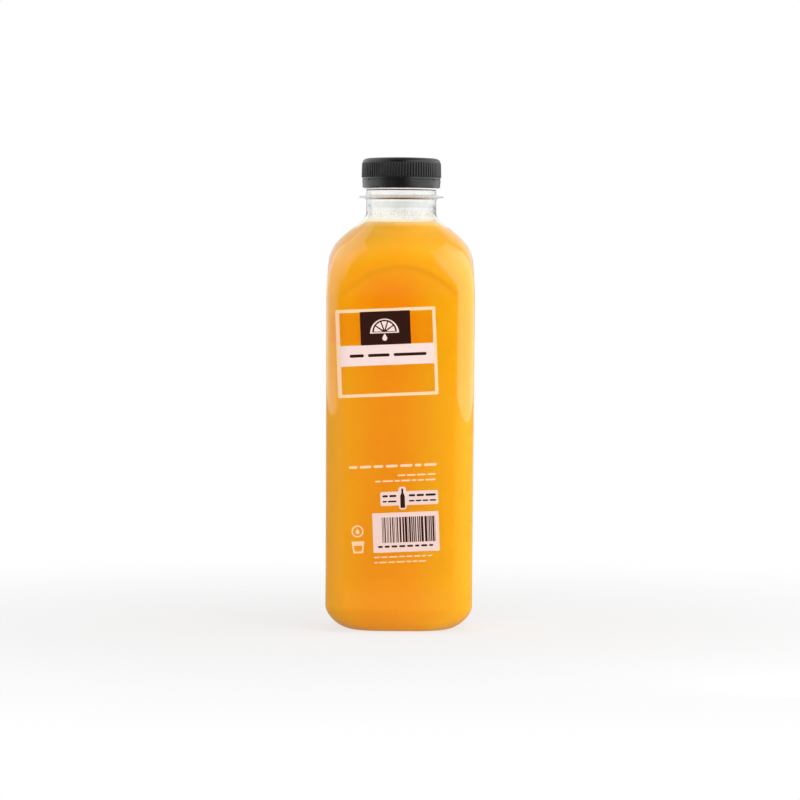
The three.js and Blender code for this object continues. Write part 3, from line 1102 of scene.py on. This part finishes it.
# Bars: left, right, bottom, top, seed, then the module of their widths and gaps
BAR_FIELD = (19.4, 46.0, -116.3, -103.6, 31)
BAR_MODULE = 0.3
BAR_WIDTHS = (1, 2, 2, 3, 4)
BAR_GAPS = (1, 1, 2)

# Emblem and small marks: where each stands and its sizes
EMBLEM = ((24.5, -11.6), 7.2)
RING_MARK = ((7.1, -110.0), 3.0, 0.7)
DROP_MARK = ((7.1, -110.4), 1.0)
TUMBLER = (3.9, -120.9, 6.4, 5.9, 0.85)
SMALL_BOTTLE = (30.2, -99.1, 1.15, 9.7)


def circle(centre, radius, steps=CIRCLE_STEPS):
    return arc(*centre, radius, 0, 360, steps)[:-1]


# A rectangle with rounded corners
def rounded(left, bottom, right, top, radius):
    if radius <= 0:
        return [(left, bottom), (right, bottom), (right, top), (left, top)]
    low, high = bottom + radius, top - radius
    points = arc(right - radius, low, radius, -90, 0)
    points += arc(right - radius, high, radius, 0, 90)
    points += arc(left + radius, high, radius, 90, 180)
    points += arc(left + radius, low, radius, 180, 270)
    return points


# A short bar with round ends
def dash(left, middle, length, thick):
    half = thick / 2
    return [rounded(left, middle - half, left + length, middle + half, half - DASH_FLAT)]


# A row of dashes of uneven length
def dashes(left, right, middle, thick, shortest, longest, gap, seed):
    draw = random.Random(seed)
    marks = []
    at = left
    while at < right - shortest * LAST_DASH:
        length = min(draw.uniform(shortest, longest), right - at)
        if right - at - length < shortest + gap:
            length = right - at
        marks.append(dash(at, middle, length, thick))
        at += length + gap
    return marks


# Marks on the film in layers, each on top of the one before
def make_print(name, layers, material, slot):
    shapes = [wrapped_mark(outlines, level) for level, marks in layers for outlines in marks]
    piece = mesh_piece(name, *gathered(shapes), material, smooth=False)
    install(piece, slot)


# One mark as a thin solid on the film
def wrapped_mark(outlines, level):
    loops = [[on_film(PRINT_ACROSS + x, PRINT_DOWN - y) for x, y in loop] for loop in outlines]
    flat = bmesh.new()
    verts = [flat.verts.new((g, z, 0)) for loop in loops for g, z in loop]
    for corners in tessellate_polygon([[Vector((g, z, 0)) for g, z in loop] for loop in loops]):
        flat.faces.new([verts[i] for i in corners])
    least = min(v.co.x for v in verts)
    cut = -(HALF_LOW - CORNER)
    while cut > least:
        everything = flat.verts[:] + flat.edges[:] + flat.faces[:]
        bmesh.ops.bisect_plane(flat, geom=everything, plane_co=(cut, 0, 0), plane_no=(1, 0, 0))
        cut -= BEND_STEP
    bmesh.ops.recalc_face_normals(flat, faces=flat.faces[:])
    flat.verts.index_update()
    flat.normal_update()
    places = [(v.co.x, v.co.y) for v in flat.verts]
    faces = []
    for face in flat.faces:
        corners = tuple(v.index for v in face.verts)
        faces.append(corners if face.normal.z > 0 else corners[::-1])
    flat.free()
    back = FILM_FRONT + level * INK_THICK
    return wrapped(places, faces, back, back + INK_THICK)


# Half a slice of citrus with a drop under it, as shares of its radius and of a wedge
RIND = 0.075
WEDGES = 5
WEDGE_SPAN = (0.09, 0.91)
WEDGE_TIP = 0.16
WEDGE_RIM = 0.74
WEDGE_STEPS = 8
DROP_BELOW = 0.36
DROP_SIZE = 0.17


def citrus_marks(centre, radius):
    x, y = centre
    rind = RIND * radius
    outline = arc(x, y, radius, 0, 180, CIRCLE_STEPS)
    hollow = arc(x, y + rind, radius - 2 * rind, 0, 180, CIRCLE_STEPS)
    marks = [[outline, hollow]]
    for i in range(WEDGES):
        start, end = (180 * (i + share) / WEDGES for share in WEDGE_SPAN)
        tip = arc(x, y + rind, WEDGE_TIP * radius, start, end, 2)[1]
        marks.append([[tip] + arc(x, y + rind, WEDGE_RIM * radius, start, end, WEDGE_STEPS)])
    marks.append([drop_outline((x, y - DROP_BELOW * radius), DROP_SIZE * radius)])
    return marks


DROP_STEPS = 20
DROP_TURNS = (-207, 27)


# A drop with its point up
def drop_outline(centre, radius):
    x, y = centre
    return arc(x, y, radius, *DROP_TURNS, DROP_STEPS) + [(x, y + 2 * radius)]


# Its lean by its width, level by height, side by line and tuck by lean
TUMBLER_SHAPE = (0.12, 0.62, 1.3, 0.3)


# A tumbler seen from the side, filled to a level
def tumbler_marks(left, bottom, width, height, line):
    leaning, filled, thicker, tuck = TUMBLER_SHAPE
    lean = leaning * width
    right = left + width
    side = line * thicker
    level = bottom + filled * height
    outer = [
        (left + lean, bottom), (right - lean, bottom),
        (right, bottom + height), (left, bottom + height),
    ]
    inner = [
        (left + lean + line, bottom + line), (right - lean - line, bottom + line),
        (right - side, level), (left + side - tuck * lean, level),
    ]
    return [outer, inner]


def ring_mark(centre, radius, line):
    return [circle(centre, radius), circle(centre, radius - line)]


# Its neck by its width, and its shoulder's foot and top by its height
SMALL_SHAPE = (0.42, 0.6, 0.78)


# A plain bottle seen from the side
def bottle_outline(x, bottom, half, height):
    neck = SMALL_SHAPE[0] * half
    low, high, top = (bottom + share * height for share in (*SMALL_SHAPE[1:], 1))
    return [
        (x - half, bottom), (x + half, bottom), (x + half, low),
        (x + neck, high), (x + neck, top), (x - neck, top), (x - neck, high), (x - half, low),
    ]


# Upright bars of uneven width
def bar_marks(left, right, bottom, top, seed):
    draw = random.Random(seed)
    marks = []
    at = left
    while at < right:
        end = min(at + BAR_MODULE * draw.choice(BAR_WIDTHS), right)
        marks.append([rounded(at, bottom, end, top, 0)])
        at = end + BAR_MODULE * draw.choice(BAR_GAPS)
    return marks


def thin_marks():
    marks = [[rounded(*FRAME_OUTER), rounded(*FRAME_WINDOW)]]
    marks += [ring_mark(*RING_MARK), [drop_outline(*DROP_MARK)], tumbler_marks(*TUMBLER)]
    return marks + [mark for row in THIN_ROWS for mark in dashes(*row)]


def pale_marks():
    return [[rounded(*field)] for field in PALE_FIELDS]


def dark_marks():
    marks = [[rounded(*DARK_FIELD)], [bottle_outline(*SMALL_BOTTLE)]]
    marks += [mark for row in DARK_ROWS for mark in dashes(*row)]
    return marks + bar_marks(*BAR_FIELD)


# Studio, in metres

CAMERA_PLACE = (0, -1.934, 0.1765)
CAMERA_AIM = (0, 0, 0.1156)
CAMERA_LENS = 171.3
CAMERA_SENSOR = 36
CAMERA_ROLL = radians(0.37)


def aim(thing, place, target, roll=0.0):
    look = (Vector(target) - Vector(place)).to_track_quat("-Z", "Y")
    thing.location = place
    thing.rotation_mode = "QUATERNION"
    thing.rotation_quaternion = look @ Quaternion((0, 0, 1), roll)


def make_camera():
    lens = bpy.data.cameras.new("camera")
    lens.lens = CAMERA_LENS
    lens.sensor_width = CAMERA_SENSOR
    camera = linked("camera", lens)
    aim(camera, CAMERA_PLACE, CAMERA_AIM, CAMERA_ROLL)
    bpy.context.scene.camera = camera


# The gloss shows two tall panels with a wing each: near end, far end, foot, top and radiance, then
# how each dims over its left and right edge, from a height, down to a share, its lean and its foot
GLOSS_PANELS = {
    "right_panel": ((0.435, -1.0), (0.77, 1.3), 0.082, 1.48, 1.33, 0.08, 0.30, 0.45, 0.4, 0, 0.001),
    "left_panel": ((-0.476, -0.55), (-0.62, 1.12), 0.088, 1.48, 1.07, 0.06, 0.28, 0.45, 0.45, 0, 0.001),
    "right_wing": ((0.10, -1.09), (0.463, -0.81), 0.31, 1.2, 1.4, 0.30, 0.23, 0.6, 0.5, 0.75, 0.18),
    "left_wing": ((-0.25, -0.66), (-0.50, -0.20), 0.28, 1.1, 0.62, 0.40, 0.30, 0.6, 0.5, -0.5, 0.2),
}

# Lamps for the juice, unseen in gloss: as above, or place, target, width, height and radiance
SIDE_LAMPS = {
    "right_lamp": ((0.45, -0.9), (0.655, 0.6), 0.0, 0.55, 1.37),
    "left_lamp": ((-0.489, -0.41), (-0.62, 0.9), 0.0, 0.35, 1.03),
}
LAMPS = {
    "front_lamp": ((0, -2.2, 0.6), (0, 0, 0.1), 1.6, 1.0, 1.2),
    "near_lamp": ((0.20, -0.30, 0.13), (0, 0, 0.12), 0.05, 0.3, 3.3),
    "top_lamp": ((0.06, -0.5, 1.2), (0, 0, 0.1), 0.8, 0.6, 2.5),
    "back_lamp": ((-0.25, 1.5, 0.5), (0, 0, 0.1), 1.4, 1.0, 1.2),
}
POWER_FOR_RADIANCE = 4


# A rectangular light that faces a point; its radiance is that of its face
def panel(name, place, target, width, height, radiance, seen_in_gloss=False):
    light = bpy.data.lights.new(name, "AREA")
    light.shape = "RECTANGLE"
    light.size = width
    light.size_y = height
    light.energy = POWER_FOR_RADIANCE * width * height * radiance
    lamp = linked(name, light)
    aim(lamp, place, target)
    lamp.visible_camera = False
    lamp.visible_glossy = seen_in_gloss
    lamp.visible_diffuse = not seen_in_gloss
    return light


# An upright panel between two places on the floor, facing the bottle
def side_panel(name, front, back, bottom, top, radiance, seen_in_gloss=False):
    near, far = Vector((*front, bottom)), Vector((*back, top))
    middle = (near + far) / 2
    along = (far - near).xy
    across = Vector((-along.y, along.x, 0)).normalized()
    if across.dot(middle) > 0:
        across = -across
    return panel(name, middle, middle + across, along.length, top - bottom, radiance, seen_in_gloss)


# Dim a panel towards its top, its foot and its two sides, of which one may lean
def grade(light, left_edge, right_edge, fade_from, dimmest, lean, foot):
    light.use_nodes = True
    tree = light.node_tree
    across, up, _ = axes_of(node(tree, "NewGeometry").outputs["Parametric"])
    left = maths("SUBTRACT", across, times(up, max(lean, 0.0)))
    left = ramped(left, 0.0, left_edge)
    right = maths("SUBTRACT", across, times(up, min(lean, 0.0)))
    right = ramped(right, 1.0, 1.0 - right_edge)
    fall = times(ramped(up, fade_from, 1.0), 1.0 - dimmest)
    strength = times(left, right, ramped(up, 0.0, foot), rest(fall))
    feed(tree.nodes["Emission"].inputs["Strength"], strength)


def make_lights():
    for name, (front, back, bottom, top, radiance, *fades) in GLOSS_PANELS.items():
        grade(side_panel(name, front, back, bottom, top, radiance, True), *fades)
    for name, sizes in SIDE_LAMPS.items():
        side_panel(name, *sizes)
    for name, sizes in LAMPS.items():
        panel(name, *sizes)


# Greys of the surroundings and where they set in: in front at eye level, upwards and below
EYE_LEVEL = 0.02
UPWARD = ((0.14, 0.005, 0.03), (0.06, 0.10, 0.30), (0.30, 0.45, 0.95))
BELOW = (0.14, 0.38)
BELOW_ACROSS = (0.15, 0.55)
BELOW_FROM = (-0.02, -0.04)

# Behind, beside that, and to the juice
BEHIND = 0.6
BEHIND_FROM = (0.70, 0.98)
ASIDE = 0.85
ASIDE_ACROSS = (0.02, 0.10)
ASIDE_UP = (0.02, 0.10)
ASIDE_BACK = (0.40, 0.70)
ASIDE_WIDENS = 0.5
ASIDE_EDGE = (-0.10, 0.02)
TO_JUICE = 0.41


# Plain surroundings: dim in front with a dark line at eye level, white behind
def make_world():
    world = bpy.data.worlds.new("studio")
    world.use_nodes = True
    bpy.context.scene.world = world
    tree = world.node_tree
    tree.nodes.clear()
    x, back, up = axes_of(node(tree, "TexCoord").outputs["Generated"])
    across = maths("ABSOLUTE", x)
    front = grey(EYE_LEVEL)
    for level, low, high in UPWARD:
        front = mixed(ramped(up, low, high), front, grey(level))
    below = mixed(ramped(across, *BELOW_ACROSS), *(grey(level) for level in BELOW))
    front = mixed(ramped(up, *BELOW_FROM), front, below)
    around = mixed(ramped(back, *BEHIND_FROM), front, grey(BEHIND))
    beyond = maths("SUBTRACT", times(back, ASIDE_WIDENS), across)
    aside = times(
        ramped(across, *ASIDE_ACROSS), ramped(up, *ASIDE_UP),
        ramped(beyond, *ASIDE_EDGE), ramped(back, *ASIDE_BACK),
    )
    around = mixed(aside, around, grey(ASIDE))
    path = node(tree, "LightPath")
    around = mixed(path.outputs["Is Diffuse Ray"], around, grey(TO_JUICE))
    seen = mixed(path.outputs["Is Camera Ray"], around, grey(1))
    background = node(tree, "Background", Color=seen, Strength=1.0)
    feed(node(tree, "OutputWorld").inputs["Surface"], background.outputs[0])


# Floor, in millimetres: its rings as shares of its radius, and where it fades out
FLOOR_RADIUS = 600
FLOOR_RINGS = (0.1, 0.3, 0.6, 1)
FLOOR_SIDES = 96
FLOOR_FADE = (100, 500)
FLOOR_GREY = 0.20

# Its glow: to the camera, in gloss, and to the juice, more to the right and near the bottle
GLOW_TO_CAMERA = 0.69
GLOW_IN_GLOSS = 0.14
GLOW_LEFT = 0.41
GLOW_MORE_RIGHT = 0.50
GLOW_RIGHT_SPAN = (-90, 130)
GLOW_FAR = 0.76
GLOW_MORE_NEAR = 0.32
GLOW_NEAR_SPAN = (66, 42)


def floor_material():
    material, tree, place = new_material("floor")
    far = node(tree, "VectorMath", {"operation": "LENGTH"}, Vector=place).outputs["Value"]
    rightward = spanned(axes_of(place)["X"], GLOW_RIGHT_SPAN)
    near = spanned(far, GLOW_NEAR_SPAN)
    path = node(tree, "LightPath").outputs
    to_camera = times(path["Is Camera Ray"], GLOW_TO_CAMERA)
    to_juice = times(
        path["Is Diffuse Ray"], growing(rightward, GLOW_LEFT, GLOW_MORE_RIGHT),
        growing(near, GLOW_FAR, GLOW_MORE_NEAR),
    )
    to_gloss = times(path["Is Glossy Ray"], GLOW_IN_GLOSS)
    strength = maths("ADD", maths("ADD", to_camera, to_juice), to_gloss)
    glow = node(tree, "Emission", Color=grey(1), Strength=strength)
    matt = node(tree, "BsdfDiffuse", Color=grey(FLOOR_GREY))
    lit = node(tree, "AddShader")
    feed(lit.inputs[0], matt.outputs[0])
    feed(lit.inputs[1], glow.outputs[0])
    fade = spanned(far, FLOOR_FADE)
    result = mixed_shader(fade, lit.outputs[0], see_through(tree, grey(1)))
    return finished(material, result)


# A pale floor that fades out before its edge
def make_floor(material):
    rings = [circle((0, 0), FLOOR_RADIUS * share, FLOOR_SIDES) for share in FLOOR_RINGS]
    points = [(0, 0, 0)] + [(x, y, 0) for level in rings for x, y in level]
    faces = [(0, 1 + j, 1 + (j + 1) % FLOOR_SIDES) for j in range(FLOOR_SIDES)]
    for low in range(1, len(points) - FLOOR_SIDES, FLOOR_SIDES):
        faces += strip(low + FLOOR_SIDES, low, FLOOR_SIDES)
    floor = mesh_piece("floor", points, faces, material)


# Layers of the print, each on top of the one before
THIN_LAYER, PALE_LAYER, DARK_LAYER, EMBLEM_LAYER = range(4)

make_camera()
make_lights()
make_world()
make_floor(floor_material())
make_bottle(clear_plastic())
make_juice(juice_material())
make_cap(cap_plastic())
make_film(film_material())
pale = [(PALE_LAYER, pale_marks()), (EMBLEM_LAYER, citrus_marks(*EMBLEM))]
make_print("label_print_thin", [(THIN_LAYER, thin_marks())], ink(*THIN_INK), "print_pale")
make_print("label_print_pale", pale, ink(*PALE_INK), "print_pale")
make_print("label_print_dark", [(DARK_LAYER, dark_marks())], ink(*DARK_INK), "print_dark")

bpy.context.scene.view_settings.view_transform = "Standard"
